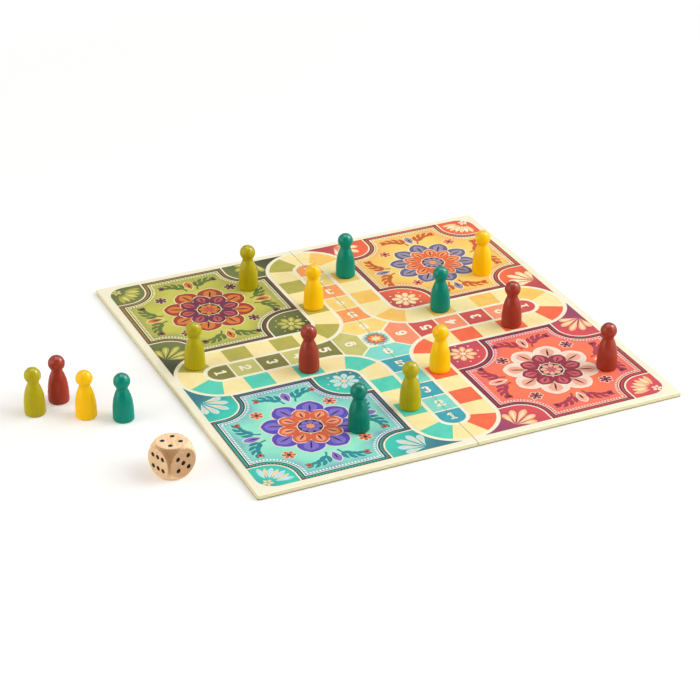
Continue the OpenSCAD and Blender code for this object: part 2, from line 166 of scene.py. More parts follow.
def piece(name, parts, finish, body=None, stands_for=(), smooth=False):
    """Joins parts into one mesh at the origin. With a body it rides on it."""
    points = np.concatenate([p for p, _ in parts]) * MM
    first, faces = 0, []
    for p, blocks in parts:
        for block in blocks:
            faces += (np.asarray(block) + first).tolist()
        first += len(p)
    mesh = bpy.data.meshes.new(name)
    mesh.from_pydata(points.tolist(), [], faces)
    mesh.materials.append(finish)
    if smooth:
        mesh.shade_smooth()
    mesh.update()
    made = bpy.data.objects.new(name, mesh)
    bpy.context.scene.collection.objects.link(made)
    if body:
        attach(made, body)
    if stands_for:
        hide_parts(*stands_for)
    return made


def hold(owner, name, values):
    """Gives a piece one number for each of its points, which its material reads by this name."""
    layer = owner.data.attributes.new(name, "FLOAT", "POINT")
    layer.data.foreach_set("value", values.astype(np.float32))


def hoops(points, closed=False):
    """Strips of rectangles made solid: points is (strips, stations, 4, 3). Each rectangle is joined
    to the next by four faces. A closed strip's last one meets its first, and open ends are capped."""
    strips, stations = points.shape[:2]
    station = np.arange(strips * stations).reshape(strips, stations) * 4
    here = station if closed else station[:, :-1]
    there = np.roll(station, -1, 1) if closed else station[:, 1:]
    corner = np.arange(4)
    follow = (corner + 1) % 4
    quads = np.stack([here[..., None] + corner, here[..., None] + follow,
                      there[..., None] + follow, there[..., None] + corner], -1).reshape(-1, 4)
    if not closed:
        caps = [station[:, 0, None] + [0, 3, 2, 1], station[:, -1, None] + [0, 1, 2, 3]]
        quads = np.concatenate([quads, *caps])
    return points.reshape(-1, 3), [quads]


def ribbons(paths, widths, z0, z1):
    """Flat strips, all at once: paths is (strips, stations, 2) and widths (strips, stations).
    At each station a rectangle stands across the path, half its width to each side, from z0 to z1.
    The tops of strips that may cross lie a hair apart, so that no two share a plane."""
    paths = np.asarray(paths, float)
    widths = np.broadcast_to(np.asarray(widths, float), paths.shape[:2])
    run = np.gradient(paths, axis=1)
    run /= np.maximum(np.linalg.norm(run, axis=2, keepdims=True), 1e-9)
    left = np.stack([-run[..., 1], run[..., 0]], 2) * widths[..., None] / 2
    points = np.empty((*paths.shape[:2], 4, 3))
    points[:, :, (0, 3), :2] = (paths - left)[:, :, None]
    points[:, :, (1, 2), :2] = (paths + left)[:, :, None]
    points[:, :, :2, 2] = z0
    points[:, :, 2:, 2] = z1 - HAIR * (np.arange(len(paths)) % 4)[:, None, None]
    return hoops(points)


def band(outer, inner, z0, z1):
    """A closed flat band between two loops of equally many points, from z0 to z1."""
    points = np.zeros((len(outer), 4, 3))
    points[:, (0, 3), :2] = np.asarray(outer)[:, None]
    points[:, (1, 2), :2] = np.asarray(inner)[:, None]
    points[:, :2, 2] = z0
    points[:, 2:, 2] = z1
    return hoops(points[None], closed=True)


def rings(rows, count):
    """The numbers of points that stand in rows, each a closed ring; the same one point farther along
    the ring; and the faces that join each ring to the next."""
    here = np.arange(rows * count).reshape(rows, count)
    ahead = np.roll(here, -1, 1)
    return here, ahead, np.stack([here[:-1], ahead[:-1], ahead[1:], here[1:]], -1).reshape(-1, 4)


def fan(here, ahead, tip):
    """Triangles from the sides of a ring to one point."""
    return np.stack([here, ahead, np.full(len(here), tip)], -1)


def turned(xy, degrees):
    """Points in plan, turned about the origin."""
    a = math.radians(degrees)
    return np.asarray(xy) @ np.array([[math.cos(a), math.sin(a)], [-math.sin(a), math.cos(a)]])


def on_panel(part, player):
    """Brings a part drawn about a panel's middle, outer corner up and right, to that player's panel."""
    points, blocks = part
    points = points.copy()
    points[:, :2] = turned(points[:, :2] + PANEL_MID, TURN[player])
    return points, blocks


# Outline of a panel's frame


def notch(side, turn, d, curve=24, straight=12):
    """One corner of the frame's line at distance d from the panel's edge, about the panel's own
    corner with both sides running inwards: in along one side, round a quarter arc, out on the other.
    A side's points stand at the power 1.5 of their share, closer together at its start."""
    s, r = side + CORNER_LINE + d, turn + CORNER_LINE + d
    a = np.radians(np.linspace(90, 0, curve))
    arc = np.stack([s - r + r * np.cos(a), s - r + r * np.sin(a)], 1)
    run = d + (s - r - d) * (np.arange(straight) / straight) ** 1.5
    into = np.stack([run, np.full_like(run, s)], 1)
    out = np.stack([np.full_like(run, s), run[::-1]], 1)
    return np.concatenate([into, arc, out])


def frame_loop(d, rounded=0, straight=26):
    """The whole line at distance d, as a loop about the panel's middle. Each corner of the panel
    has its notch, and straight stretches join them. Their points stand at half of 1 less a cosine,
    so they are closer together at both ends. With rounded, the sharp points where a notch leaves a
    side are pushed onto a circle of that radius."""
    corners = []
    for k in range(4):
        side, turn = (INNER_S, INNER_TURN) if k == 0 else (CORNER_S, CORNER_TURN)
        corners.append(turned(notch(side, turn, d) - PANEL_HALF, 90 * k))
    share = (1 - np.cos(np.pi * np.linspace(0, 1, straight + 2)[1:-1, None])) / 2
    loop = []
    for k in range(4):
        loop += [corners[k], corners[k][-1] * (1 - share) + corners[(k + 1) % 4][0] * share]
    loop = np.concatenate(loop)
    for corner in corners:
        for tip, inward in ((corner[0], corner[1]), (corner[-1], corner[-2])):
            u = (inward - tip) / np.linalg.norm(inward - tip)
            v = np.array([-u[1], u[0]])
            v = v if np.dot(v, -tip) > 0 else -v
            a, b = (loop - tip) @ u, (loop - tip) @ v
            near = (a < rounded) & (b < rounded) & (a > -0.01) & (b > -0.01)
            middle = tip + rounded * (u + v)
            away = loop[near] - middle
            loop[near] = middle + rounded * away / np.linalg.norm(away, axis=1, keepdims=True)
    return loop


def spaced(loop, pitch):
    """Points at equal steps of about pitch along a loop, with the direction of the line there, taken
    over the next 0.2 mm."""
    run = np.concatenate([loop, loop[:1]])
    length = np.concatenate([[0], np.cumsum(np.linalg.norm(np.diff(run, axis=0), axis=1))])
    count = int(round(length[-1] / pitch))
    at = np.arange(count) * length[-1] / count
    where = np.stack([np.interp(at, length, run[:, i]) for i in (0, 1)], 1)
    ahead = np.stack([np.interp((at + 0.2) % length[-1], length, run[:, i]) for i in (0, 1)], 1)
    along = ahead - where
    return where, along / np.linalg.norm(along, axis=1, keepdims=True)


# Ornament, drawn about a panel's middle. A shape is a pair: paths and widths for ribbons().

# The shares between which a petal's or a leaf's stations stand, and the angle in radians by which
# a disc's do: a hair in from the tips, where the width would be nothing
TIPS, DISC_TIP = (0.004, 0.996), 0.06
# How much of its width a stem loses, how much of their length the last leaves would, by how many
# degrees a leaf bows, and the power of its width's sine
STEM_TAPER, LEAF_TAPER, LEAF_BOW, LEAF_TIP = 0.55, 0.45, 28, 0.8


def petals(count, r0, r1, width, phase, belly, tip, centre=(0, 0), arc=360.0, n=13):
    """A ring of petals from radius r0 to r1. A petal's width is a sine over its length, its peak
    moved outwards by belly, raised to the power tip."""
    t = np.linspace(*TIPS, n)
    radius = r0 + (r1 - r0) * t
    spread = arc / count if arc >= 360 else arc / max(count - 1, 1)
    angle = np.radians(phase + spread * np.arange(count)[:, None])
    paths = np.stack([radius * np.cos(angle), radius * np.sin(angle)], 2) + np.asarray(centre)
    return paths, np.broadcast_to(width * np.sin(np.pi * t ** belly) ** tip, paths.shape[:2])


def discs(places, radius, n=11):
    """Round dots: a ribbon along each one's diameter, as wide as the circle is there."""
    a = np.linspace(DISC_TIP, np.pi - DISC_TIP, n)
    places = np.asarray(places, float).reshape(-1, 1, 2)
    along = np.stack([-np.cos(a), np.zeros(n)], 1) * radius
    paths = places + along
    return paths, np.broadcast_to(2 * radius * np.sin(a), paths.shape[:2])


def round_places(count, radius, phase=0.0, centre=(0, 0)):
    """Places at equal angles on a circle."""
    a = np.radians(phase + 360 / count * np.arange(count))
    return np.stack([radius * np.cos(a), radius * np.sin(a)], 1) + np.asarray(centre)


def stems(starts, headings, length, curl, width, n=15):
    """Stems that leave each start at its heading and curl at an even rate, curl degrees in all.
    Each is a little thinner at its end. Returns the shape, and the headings along it."""
    t = np.linspace(0, 1, n)
    angle = np.radians(np.asarray(headings, float)[:, None] + curl * t)
    step = np.stack([np.cos(angle), np.sin(angle)], 2) * length / (n - 1)
    paths = np.asarray(starts, float)[:, None] + np.cumsum(step, 1) - step[:, :1]
    return (paths, np.broadcast_to(width * (1 - STEM_TAPER * t), paths.shape[:2])), angle


def leaves(stem, angle, at, length, width, splay, n=9):
    """Pairs of leaves on stems at the given shares of their length, each turned by splay degrees
    from the stem, and shorter towards the end. A leaf's width is a sine over its length, to the
    power LEAF_TIP, and its direction turns back by LEAF_BOW along it."""
    paths, _ = stem
    shares = np.asarray(at, float)
    index = np.round(shares * (paths.shape[1] - 1)).astype(int)
    root = paths[:, index]
    heading = angle[:, index]
    t = np.linspace(*TIPS, n)
    made = []
    for side in (-1, 1):
        way = heading + math.radians(splay) * side
        bow = way[..., None] - math.radians(LEAF_BOW) * side * t
        size = (length * (1 - LEAF_TAPER * shares))[None, :, None, None]
        run = np.stack([np.cos(bow), np.sin(bow)], 3)
        made.append((root[:, :, None] + run * t[None, None, :, None] * size).reshape(-1, n, 2))
    paths = np.concatenate(made)
    size = np.tile(1 - LEAF_TAPER * shares, 2 * len(root))[:, None]
    return paths, width * size * np.sin(np.pi * t) ** LEAF_TIP


def grown(shape, by):
    """The same shape with an outline by wide round it: ribbons drawn longer and wider."""
    paths, widths = shape
    ends = paths[:, -1:] - paths[:, :1]
    reach = np.maximum(np.linalg.norm(ends, axis=2, keepdims=True), 1e-6)
    middle = (paths[:, -1:] + paths[:, :1]) / 2
    return middle + (paths - middle) * (1 + 2 * by / reach), widths + 2 * by


# Finishes


def ink(name, colour, shade, toward=None, centre=(0, 0), reach=(0, 1), cloud=7.0):
    """Offset ink under a matt film on board paper. The print has soft clouds, 7 mm wide and 4 on
    the small motifs, between the colour and a near shade. With toward, the colour drifts to that
    one with the distance from centre, over reach in millimetres."""
    made, place = material(name)
    clouds = add(made, "TexNoise", {
        "Vector": place, "Scale": 1 / (cloud * MM), "Detail": 2.0, "Roughness": 0.5, "Distortion": 0.4})
    spread = add(made, "MapRange", {"Value": clouds, "From Min": 0.38, "From Max": 0.72, "To Max": 0.6})
    tone = add(made, "Mix", {"Factor": spread, "A": colour, "B": shade}, data_type="RGBA")
    if toward:
        away = add(made, "VectorMath", {
            0: place, 1: (centre[0] * MM, centre[1] * MM, INK_Z * MM)}, operation="DISTANCE")
        wander = add(made, "Math", {0: clouds, 1: INK_WANDER * MM, 2: away}, operation="MULTIPLY_ADD")
        start, end = [(r + INK_WANDER / 2) * MM for r in reach]
        drift = add(made, "MapRange", {
            "Value": wander, "From Min": start, "From Max": end}, interpolation_type="SMOOTHSTEP")
        tone = add(made, "Mix", {"Factor": drift, "A": tone, "B": toward}, data_type="RGBA")
    return matt_film(made, tone, place)


def matt_film(made, tone, place, uneven=0.035):
    """Ends an ink or a paper. A sponged mottle of 1.3 mm and a paper grain of 0.4 mm vary its tone
    a little, and the grain its height, under the matt film."""
    sponge = add(made, "TexNoise", {
        "Vector": place, "Scale": 1 / (1.3 * MM), "Detail": 2.0, "Roughness": 0.6})
    grain = add(made, "TexNoise", {
        "Vector": place, "Scale": 1 / (0.4 * MM), "Detail": 1.0, "Roughness": 0.6})
    both = add(made, "Math", {0: sponge, 1: grain}, operation="ADD")
    light = add(made, "MapRange", {
        "Value": both, "From Min": 0.7, "From Max": 1.3, "To Min": 1 - uneven, "To Max": 1 + uneven})
    speckled = add(made, "Mix", {"Factor": 1.0, "A": tone, "B": light},
                   data_type="RGBA", blend_type="MULTIPLY")
    rough = add(made, "MapRange", {
        "Value": sponge, "From Min": 0.3, "From Max": 0.7, "To Min": 0.5, "To Max": 0.6})
    bump = add(made, "Bump", {"Height": grain, "Strength": 0.2, "Distance": 0.02 * MM})
    return surface(made, Base_Color=speckled, Roughness=rough, Normal=bump,
                   IOR=1.45, Specular_IOR_Level=0.13)


def panel_ink(name, stops, shade):
    """A panel's ground: the same ink in broad slanting strokes of 13 by 5 mm, deeper towards the
    frame. The attribute frame_gap holds each point's distance from the frame in millimetres, and
    the ramp runs over its first 16."""
    made, place = material(name)
    gap = add(made, "Attribute", attribute_name="frame_gap").outputs["Fac"]
    brush = add(made, "Mapping", {
        "Vector": place, "Rotation": (0, 0, 0.9), "Scale": (1 / (13 * MM), 1 / (5 * MM), 1)})
    strokes = add(made, "TexNoise", {
        "Vector": brush, "Scale": 1.0, "Detail": 3.0, "Roughness": 0.55, "Distortion": 0.5})
    clouds = add(made, "TexNoise", {"Vector": place, "Scale": 1 / (16 * MM), "Detail": 2.0})
    uneven = add(made, "Math", {0: clouds, 1: GROUND_WANDER, 2: gap}, operation="MULTIPLY_ADD")
    share = add(made, "MapRange", {
        "Value": uneven, "From Min": GROUND_WANDER / 2, "From Max": GROUND_WANDER / 2 + GROUND_RUN})
    glow = add(made, "ValToRGB", {"Fac": share}, stops=stops)
    spread = add(made, "MapRange", {"Value": strokes, "From Min": 0.42, "From Max": 0.72, "To Max": 0.45})
    tone = add(made, "Mix", {"Factor": spread, "A": glow, "B": shade}, data_type="RGBA")
    return matt_film(made, tone, place)


def board_paper():
    """Cream wood-free paper glued over the board: warm and slightly uneven. Round the edge a ramp by
    height darkens it as painted shade: a darker band just under the face, a slightly darker side,
    and a dark foot that is a painted contact shadow."""
    made, place = material("board_paper")
    fibre = add(made, "TexNoise", {"Vector": place, "Scale": 1 / (9 * MM), "Detail": 3.0})
    base = add(made, "Mix", {"Factor": fibre, "A": "#FBF5DC", "B": "#F8F1D2"}, data_type="RGBA")
    height = add(made, "SeparateXYZ", {0: place}).outputs["Z"]
    down = add(made, "MapRange", {"Value": height, "From Min": 0.0, "From Max": FACE_Z * MM})
    # Painted shade by height round the edge: a dark foot as painted contact shadow, a slightly darker side,
    # and a darker band under the face
    rim = add(made, "ValToRGB", {"Fac": down}, stops=[
        (0.02, "#8A8668"), (0.2, "#9A9677"), (0.32, "#E2DEC8"), (0.72, "#ECE9D6"), (0.87, "#DAD6C0"),
        (0.955, "#FFFFFF")])
    tone = add(made, "Mix", {"Factor": 1.0, "A": base, "B": rim}, data_type="RGBA", blend_type="MULTIPLY")
    return matt_film(made, tone, place, 0.012)


def greyboard():
    """Recycled greyboard, cut square: grey-brown, with coarse pulp flecks of about 1 mm."""
    made, place = material("greyboard_core")
    pulp = add(made, "TexNoise", {"Vector": place, "Scale": 1 / (1.0 * MM), "Detail": 4.0, "Roughness": 0.7})
    return relief(made, pulp, [(0.3, "#7E7566"), (0.55, "#A89F8C"), (0.8, "#BDB5A3")], 0.5, 0.1,
                  Roughness=0.9)


def lining_paper():
    """Uncoated off-white lining paper: dull, with long pale fibres some 3 mm long."""
    made, place = material("lining_paper")
    stretch = add(made, "Mapping", {"Vector": place, "Scale": (1 / (3 * MM), 1 / (0.8 * MM), 1)})
    fibre = add(made, "TexNoise", {"Vector": stretch, "Scale": 1.0, "Detail": 5.0, "Roughness": 0.65})
    return relief(made, fibre, [(0.3, "#E6DFC8"), (0.6, "#F3EEDC"), (0.85, "#FAF7EA")], 0.3, 0.05,
                  Roughness=0.85)


def hinge_tape():
    """Embossed binding paper over the fold: a linen-like weave, cream and dull, with its threads
    1.18 mm apart. A wave's period is pi / 10 over its scale."""
    made, place = material("hinge_tape")
    threads = [add(made, "TexWave", {
        "Vector": place, "Scale": math.pi / 10 / (1.18 * MM), "Distortion": 0.6, "Detail": 1.0},
        bands_direction=axis).outputs["Fac"] for axis in ("X", "Y")]
    weave = add(made, "Math", {0: threads[0], 1: threads[1]}, operation="MAXIMUM")
    return relief(made, weave, [(0.0, "#D9D0B4"), (1.0, "#F1EBD6")], 0.5, 0.06, Roughness=0.8)


def pawn_paint(name, colour, shade):
    """Sprayed gloss enamel on turned wood: one deep colour under a clear shine, with faint streaks
    along the grain, 0.9 mm wide and 20 mm long, where the wood drank the paint unevenly."""
    made, place = material(name)
    stretch = add(made, "Mapping", {
        "Vector": place, "Scale": (1 / (0.9 * MM), 1 / (0.9 * MM), 1 / (20 * MM))})
    streaks = add(made, "TexNoise", {"Vector": stretch, "Scale": 1.0, "Detail": 3.0, "Roughness": 0.6})
    tone = add(made, "MapRange", {"Value": streaks, "From Min": 0.35, "From Max": 0.75})
    colour = add(made, "Mix", {"Factor": tone, "A": colour, "B": shade}, data_type="RGBA")
    rough = add(made, "MapRange", {
        "Value": streaks, "From Min": 0.3, "From Max": 0.7, "To Min": 0.32, "To Max": 0.4})
    bump = add(made, "Bump", {"Height": streaks, "Strength": 0.04, "Distance": 0.05 * MM})
    return surface(made, Base_Color=colour, Roughness=rough, Normal=bump,
                   IOR=1.5, Specular_IOR_Level=0.02, Coat_Weight=0.33, Coat_Roughness=0.21, Coat_IOR=1.5)


def beech():
    """Beech, sanded and waxed: pinkish straw and even, with growth bands some 1.2 mm apart, and the
    fine dark flecks of beech, 1.2 by 0.25 mm, along the grain. Two faces are end grain, and the
    rounded corners are cut across the fibres: both drink the wax and look darker. Painted shade
    darkens two side-grain faces somewhat and the upper front corner much more. The attributes
    end_grain_and_shade and rounding say how much, and painted is 1 on a pip's wall."""
    made, place = material("beech")
    along = add(made, "Mapping", {"Vector": place, "Rotation": (0.1, 0.06, math.radians(90 + DIE_YAW))})
    bands = add(made, "Mapping", {"Vector": along, "Scale": (1 / (12 * MM), 1 / (1.2 * MM), 1 / (1.2 * MM))})
    growth = add(made, "TexNoise", {"Vector": bands, "Scale": 1.0, "Detail": 4.0, "Roughness": 0.65})
    tone = add(made, "ValToRGB", {"Fac": growth},
               stops=[(0.3, "#F0C08B"), (0.5, "#FED7A6"), (0.72, "#FFE6C0")])
    flecks = add(made, "Mapping", {
        "Vector": along, "Scale": (1 / (1.2 * MM), 1 / (0.25 * MM), 1 / (0.25 * MM))})
    spots = add(made, "TexNoise", {"Vector": flecks, "Scale": 1.0, "Detail": 1.0})
    chosen = add(made, "MapRange", {"Value": spots, "From Min": 0.56, "From Max": 0.7, "To Max": 0.7})
    colour = add(made, "Mix", {"Factor": chosen, "A": tone, "B": "#D09A62"}, data_type="RGBA")
    # This darkening of end grain and rounded corners also carries painted shade on two side faces and on the
    # upper front corner
    for name, dark, blend in (("end_grain_and_shade", "#C6B8AE", "MULTIPLY"), ("rounding", "#B4A08C", "MULTIPLY"),
                              ("painted", "#120C09", "MIX")):
        where = add(made, "Attribute", attribute_name=name).outputs["Fac"]
        colour = add(made, "Mix", {"Factor": where, "A": colour, "B": dark},
                     data_type="RGBA", blend_type=blend)
    bump = add(made, "Bump", {"Height": growth, "Strength": 0.15, "Distance": 0.04 * MM})
    return surface(made, Base_Color=colour, Roughness=0.45, Normal=bump, IOR=1.5,
                   Specular_IOR_Level=0.3)


def pip_paint():
    """Thick black paint dabbed in the pips: near black, a little shiny and uneven."""
    made, place = material("pip_paint")
    uneven = add(made, "TexNoise", {"Vector": place, "Scale": 1 / (0.8 * MM), "Detail": 2.0})
    return relief(made, uneven, [(0.3, "#0F0A07"), (0.8, "#241A13")], 0.4, 0.08, Roughness=0.4,
                  Specular_IOR_Level=0.1)


def dress(node, finish):
    """Gives a CAD node its finish."""
    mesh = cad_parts[node].data
    mesh.materials.clear()
    mesh.materials.append(finish)


# Colours of the four players, as the print has them


SQUARES = {"teal": ("#5BD6BB", "#46C6AC"), "red": ("#FA7148", "#F16041"),
           "yellow": ("#FFCE68", "#F9B953"), "green": ("#BEB352", "#A9A648")}
HOME_DARK = {"teal": ("#40AABA", "#3398AD"), "red": ("#D7564D", "#C44947"),
             "yellow": ("#FCA35C", "#F6924B"), "green": ("#87823F", "#757336")}
HOME_LIGHT = {"teal": ("#88E1D2", "#76D7C7"), "red": ("#FE9C74", "#F88B66"),
              "yellow": ("#FDDF85", "#F9D171"), "green": ("#CFCA78", "#BFBC67")}
GROUND = {
    "teal": ([(0.0, "#729EB4"), (0.3, "#88D0C8"), (0.65, "#93E8CC"), (1.0, "#A2ECD2")], "#86E0C6"),
    "red": ([(0.0, "#E06870"), (0.3, "#F67862"), (0.65, "#FA7B56"), (1.0, "#FC7C56")], "#FB744E"),
    "yellow": ([(0.0, "#E2A85E"), (0.3, "#F8C668"), (0.65, "#FDD068"), (1.0, "#FEDA74")], "#FCCC60"),
    "green": ([(0.0, "#9E9A5E"), (0.3, "#B8B452"), (0.65, "#CAC654"), (1.0, "#CECA5E")], "#BABB50")}
BORDER = {"teal": ("#35303A", "#2C2730"), "red": ("#4A2434", "#3E1D2B"),
          "yellow": ("#5C2A30", "#4E2228"), "green": ("#43342C", "#362A23")}
BAND_INK = {"teal": ("#35B4A2", "#47707C"), "red": ("#D24A4C", "#93344A"),
            "yellow": ("#EA7442", "#A24A42"), "green": ("#9C8848", "#5E5236")}
EDGE_INK = {"teal": "#7A3228", "red": "#7E2838", "yellow": "#7E3228", "green": "#8A4235"}
TEETH_INK = {"teal": "#3C3230", "red": "#6E2036", "yellow": "#6E2C28", "green": "#6A4426"}
CORNER = {"teal": ("#3CCBB6", "#3A7886"), "red": ("#DF4E56", "#9A4364"),
          "yellow": ("#F46C40", "#BC4A50"), "green": ("#727A40", "#42462C")}
PALE = {"teal": "#F4FBE9", "red": "#F9DCC0", "yellow": "#FFF1CE", "green": "#F7F1BE"}
PALE_FAR = {"teal": "#E8E2EE", "red": "#F3D0D4", "yellow": "#F6E4CC", "green": "#EEEBC8"}
# The darker teal copy below is painted shade for the teal pawn on its own panel
PAINT = {"teal": ("#008973", "#00816D"), "red": ("#A23B29", "#973425"),
         "yellow": ("#FFC800", "#FFC000"), "green": ("#B5A70C", "#AC9E0A"),
         "teal_painted_shade": ("#007A66", "#00705C")}
# The inks of a panel's ornament, each with its shade
PICTURE = {
    "teal": dict(main=("#5B50BC", "#4A3FA0"), second=("#E5693F", "#C4502F"), third=("#8A74D2", "#7560C0"),
                 dark=("#3B2138", "#2A1930"), leaf=("#2A8F96", "#1F7480"), pale=("#F6E4CC", "#EED8BE"),
                 glow=("#F9A27A", "#F08A60")),
    "red": dict(main=("#FBE4D0", "#F5CDB8"), second=("#9A2F3E", "#7E2233"), third=("#F8B298", "#F49C80"),
                dark=("#42202B", "#331822"), leaf=("#B23C50", "#96304A"), pale=("#FFF1E2", "#FBE3D2"),
                glow=("#D9606A", "#C24C5C")),
    "yellow": dict(main=("#6F6888", "#5A5474"), second=("#F0703E", "#DA5A30"), third=("#A399AE", "#8C8298"),
                   dark=("#55242F", "#431A26"), leaf=("#D2622F", "#B84F2C"), pale=("#FDEFD2", "#F9E2B8"),
                   glow=("#FBA468", "#F68E4E")),
    "green": dict(main=("#A8432C", "#8C3427"), second=("#702C48", "#5A223C"), third=("#DE7E38", "#C96A2E"),
                  dark=("#3A2621", "#2C1C1A"), leaf=("#67773A", "#525F30"), pale=("#F0E4AC", "#E6D898"),
                  glow=("#C8585A", "#B0464C"))}
# Petals in a ring of the panel's rosette
FOLD = {"teal": 8, "red": 8, "yellow": 10, "green": 8}
# The rosette's round fields: ink, level, radius, and stations along the diameter
HUB = (("dark", 1, 18.0, 41), ("pale", 6, 7.9, 29), ("dark", 7, 7.3, 29), ("glow", 8, 2.6, 17))
# Its rings of petals: ink, level, start, end, the radius at which the petals' width is a share of
# their room (or 0 for a width in millimetres), that share or width, turn in steps, belly and tip of
# petals(), and the width of a pale outline one level lower
ROSETTE = (("main", 3, 9, 28.5, 21, 0.93, 0.5, 1.35, 0.62, 0.6),
           ("third", 4, 15, 26.5, 21, 0.5, 0.5, 1.3, 0.7, 0),
           ("dark", 5, 16, 25, 0, 1.2, 0.5, 1.0, 0.8, 0),
           ("second", 5, 5, 19.5, 14, 0.93, 0, 1.3, 0.62, 0.55),
           ("glow", 6, 9.5, 18, 14, 0.5, 0, 1.3, 0.7, 0),
           ("dark", 7, 10, 16.5, 0, 1.0, 0, 1.0, 0.8, 0),
           ("third", 8, 2.2, 6.8, 5, 0.85, 0.5, 1.2, 0.7, 0))
# Where a sprig's leaves stand on its stem, as shares of its length
LEAF_SHARES = (0.24, 0.44, 0.64, 0.84)
# How far out the blossom on each of a panel's diagonals stands, by its angle
BLOSSOMS = {45: 33.4, 135: 33.4, 225: 30.6, 315: 33.4}
# How far in from a panel's corner its motifs are rooted: the outer fan, the daisy of the inner
# corner, and the two sprays, along the panel's edge and off it; and a spray's petals
FAN_IN, DAISY_IN, SPRAY_IN, SPRAY_OFF = 5.2, 11.5, 2.8, 0.4
SPRAY_STEP, SPRAY_LENGTHS = 25, (13.5, 16.5, 18.5, 16.5, 13.5)
# The middle star's layers: name, the ink and its shade, rays in a half, start, end, width, belly
# and tip of petals(), bottom and top
BURST = (("burst_halo", ("#80D8CC", "#5CC4BE"), 9, 1.0, 8.8, 4.2, 0.6, 0.8, FACE_Z, INK_Z - 0.02),
         ("burst_deep", ("#3C97AC", "#3388A2"), 4, 0.5, 7.3, 6.2, 0.62, 0.9, INK_Z, INK_Z + 0.01),
         ("burst_red", ("#F0633C", "#E4502F"), 4, 0.2, 7.0, 5.0, 0.55, 1.0, INK_Z, INK_Z + 0.02),
         ("burst_gold", ("#FBB55E", "#F9A550"), 4, 0.2, 5.2, 2.3, 0.55, 1.0, INK_Z, INK_Z + 0.03),
         ("burst_cream", ("#FFEEC0", "#FDE0A0"), 4, 0.1, 3.1, 1.5, 0.6, 1.0, INK_Z, INK_Z + 0.04))
# The two inks of the corner motifs
MOTIF = {"teal": (("#C6E8EC", "#9CDADC"), ("#F6D9AC", "#EBC090")),
         "red": (("#FBC78C", "#F5A96C"), ("#FBE3C4", "#F6C9A0")),
         "yellow": (("#FDE3A8", "#FBC878"), ("#FFF3DA", "#FBDDB0")),
         "green": (("#B8B24C", "#A29C42"), ("#DCD27E", "#CABE66"))}


# Print of a panel


def panel_ground(player, turns=40):
    """A panel's field: rings from the frame's line to the middle. Each ring is the line times 1 less
    the power 0.85 of its share; the attribute is each point's distance to the line's nearest point."""
    loop = frame_loop(BORDER_W)
    shares = 1 - np.linspace(0, 0.97, turns) ** 0.85
    plan = np.concatenate([(shares[:, None, None] * loop).reshape(-1, 2), [[0, 0]]])
    count, last = len(loop), len(plan) - 1
    gap = np.concatenate([
        np.sqrt(((block[:, None] - loop) ** 2).sum(2)).min(1) for block in np.array_split(plan, turns)])
    ring, ahead, top = rings(turns, count)
    cap = fan(ring[-1], ahead[-1], last)
    foot = last + 1 + np.arange(count)
    wall = np.stack([foot, np.roll(foot, -1), ahead[0], ring[0]], -1)
    under = fan(np.roll(foot, -1), foot, last + 1 + count)
    points = np.zeros((last + 2 + count, 3))
    points[:last + 1, :2] = plan
    points[:last + 1, 2] = FACE_Z + 2 * LEVEL
    points[last + 1:-1, :2] = loop
    points[last + 1:, 2] = FACE_Z
    stops, shade = GROUND[player]
    made = piece(f"ground_{player}", [on_panel((points, [top, cap, wall, under]), player)],
                 panel_ink(f"ground_ink_{player}", stops, shade), HALF[player],
                 [f"panel_{player}"])
    values = np.zeros(len(points))
    values[:last + 1] = gap
    hold(made, "frame_gap", values)


def stitches(loop, span, width):
    """Short dashes across a loop, all round it: their length is span, a pair of distances."""
    where, along = spaced(loop, DASH_PITCH)
    across = np.stack([-along[:, 1], along[:, 0]], 1) * (span[1] - span[0]) / 2
    return np.stack([where - across, where + across], 1), width


def frame_lines(player):
    """Over the CAD's dark border: a brown edge, the coloured band with dark teeth along its outer
    side and rounded at its sharp points, and inside it the white line and its stitches."""
    body, slot = HALF[player], f"ink_border_{player}"
    middle = turned((PRINT_HALF, PRINT_HALF), TURN[player])
    bright, deep = BAND_INK[player]
    brown, dark = EDGE_INK[player], TEETH_INK[player]
    edge = ink(f"edge_ink_{player}", brown, brown)
    strip = ink(f"band_ink_{player}", bright, bright, deep, middle, (50, 115))
    tooth = ink(f"teeth_ink_{player}", dark, dark)
    pale = ink(f"pale_ink_{player}", PALE[player], PALE[player], PALE_FAR[player], middle, (50, 120))
    rim = band(frame_loop(EDGE_LINE[0]), frame_loop(EDGE_LINE[1]), INK_Z, INK_Z + LEVEL)
    stripe = band(frame_loop(BAND[0], BAND_ROUND), frame_loop(BAND[1]), INK_Z, INK_Z + 2 * LEVEL)
    teeth = stitches(frame_loop(sum(TEETH) / 2, BAND_ROUND), TEETH, DASH_W)
    low, high = FACE_Z + LEVEL, FACE_Z + 3 * LEVEL
    line = band(frame_loop(WHITE_LINE[0]), frame_loop(WHITE_LINE[1]), low, high)
    dashes = ribbons(*stitches(frame_loop(sum(DASHES) / 2), DASHES, DASH_W), low, high)
    for name, finish, *parts in (("edge", edge, rim), ("band", strip, stripe),
                                 ("teeth", tooth, ribbons(*teeth, INK_Z, INK_Z + 3 * LEVEL)),
                                 ("stitch", pale, line, dashes)):
        piece(f"frame_{name}_{player}", [on_panel(part, player) for part in parts], finish, body)


